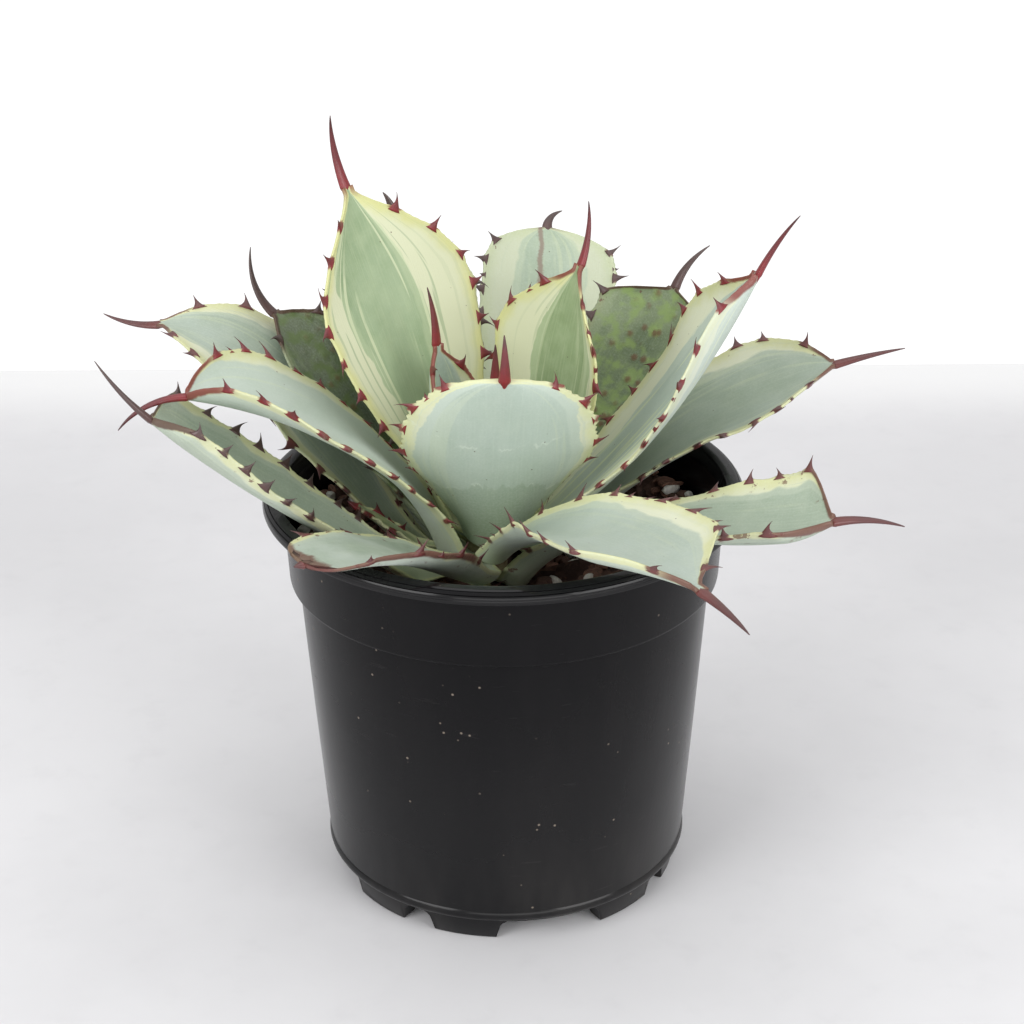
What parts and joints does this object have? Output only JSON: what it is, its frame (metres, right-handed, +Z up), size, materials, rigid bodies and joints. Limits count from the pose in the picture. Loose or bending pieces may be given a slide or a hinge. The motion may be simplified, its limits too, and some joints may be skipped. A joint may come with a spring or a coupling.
{
  "type": "potted agave",
  "caption": "Rosette of thick toothed leaves with cream margins and long end spines, rooted in bark soil in a round tapered nursery pot.",
  "frame": {"origin": "on the floor plane, under the centre of the bounding box; the pot axis stands 0.5 mm along X and 9.7 mm along Y from it", "axes": "+Z up along the pot axis, -Y towards the viewer of the front, +X to the right seen from the front"},
  "size_m": [0.2814, 0.2822, 0.2644],
  "materials": {
    "black_plastic": "gloss black, moulded",
    "bark_soil": "damp bark mix with white perlite",
    "stem_skin": "rough, pale",
    "leaf_skin": "waxy blue-green with cream margins, red teeth",
    "dark_leaf_skin": "waxy dark green"
  },
  "bodies": {
    "root": {"pot": "black_plastic", "soil": "bark_soil", "stem": "stem_skin", "leaf_back_broad": "leaf_skin", "leaf_back_left_dark": "dark_leaf_skin", "leaf_back_right_dark": "dark_leaf_skin", "leaf_behind_right": "leaf_skin", "leaf_big_left": "leaf_skin", "leaf_bud": "leaf_skin", "leaf_front_cupped": "leaf_skin", "leaf_front_left_short": "leaf_skin", "leaf_front_low": "leaf_skin", "leaf_front_right": "leaf_skin", "leaf_hidden_back": "leaf_skin", "leaf_hidden_back_left": "leaf_skin", "leaf_hidden_back_right": "leaf_skin", "leaf_hidden_far_left": "leaf_skin", "leaf_inner_bud": "leaf_skin", "leaf_left_low": "leaf_skin", "leaf_left_upper": "leaf_skin", "leaf_right_long": "leaf_skin", "leaf_right_low": "leaf_skin", "leaf_right_upright": "leaf_skin", "leaf_small_left": "leaf_skin", "leaf_tall_striped": "leaf_skin"}
  },
  "joints": []
}
